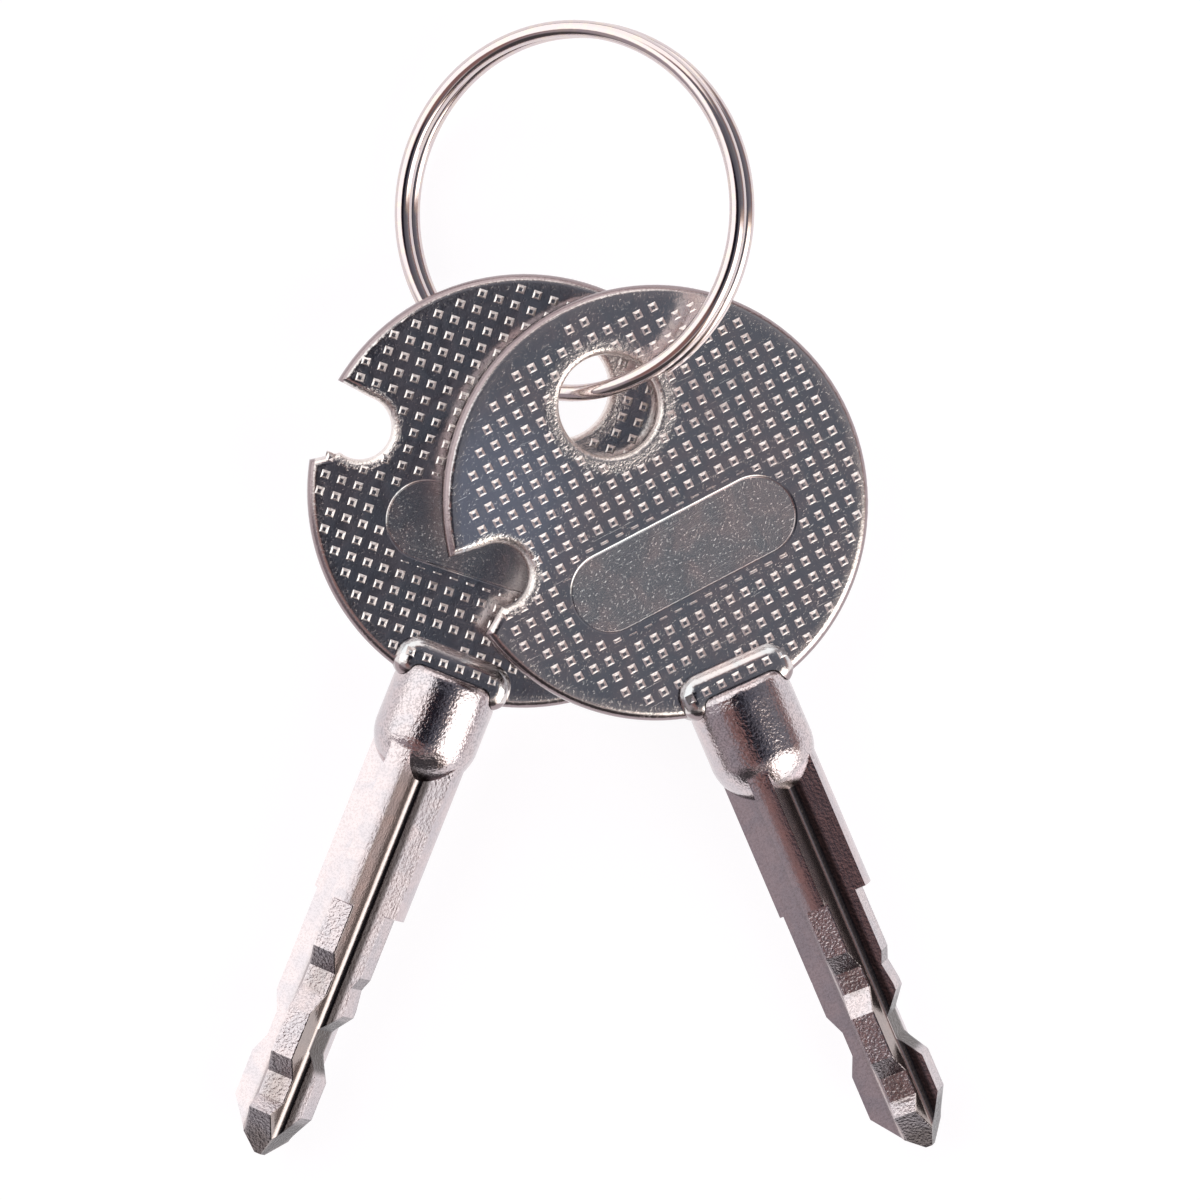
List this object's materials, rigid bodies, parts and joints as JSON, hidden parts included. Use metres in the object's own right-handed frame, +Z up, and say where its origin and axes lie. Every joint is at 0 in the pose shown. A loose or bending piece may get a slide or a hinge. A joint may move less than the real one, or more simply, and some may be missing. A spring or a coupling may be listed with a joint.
{
  "type": "helmet lock key set",
  "caption": "Round-headed cross-blade keys of a helmet lock, threaded on a double-coil split ring and free to swing about their holes.",
  "frame": {"origin": "middle of the whole set's outline, on the surface that it lies on", "axes": "+Z up from the surface, +Y from the key tips towards the ring, +X to the right seen from above"},
  "size_m": [0.0392, 0.0626, 0.0099],
  "materials": {
    "ring_wire": "polished nickel-plated spring wire",
    "plated_head": "nickel-plated cast disc, tumbled edges",
    "plated_blade": "nickel-plated cast collar and milled fins"
  },
  "bodies": {
    "ring": {"split_ring": "ring_wire"},
    "lower_key": {"lower_key_head": "plated_head", "lower_key_blade": "plated_blade"},
    "upper_key": {"upper_key_head": "plated_head", "upper_key_blade": "plated_blade"}
  },
  "joints": [
    {"name": "lower_key_swing", "type": "hinge", "parent": "ring", "child": "lower_key", "pos_m": [-0.00171, 0.01111, 0.00369], "axis": [0.0934, -0.0713, 0.9931], "range_deg": [-100, 16]},
    {"name": "upper_key_swing", "type": "hinge", "parent": "ring", "child": "upper_key", "pos_m": [0.00099, 0.01011, 0.0058], "axis": [0.2148, 0.0048, 0.9766], "range_deg": [-16, 100]}
  ]
}
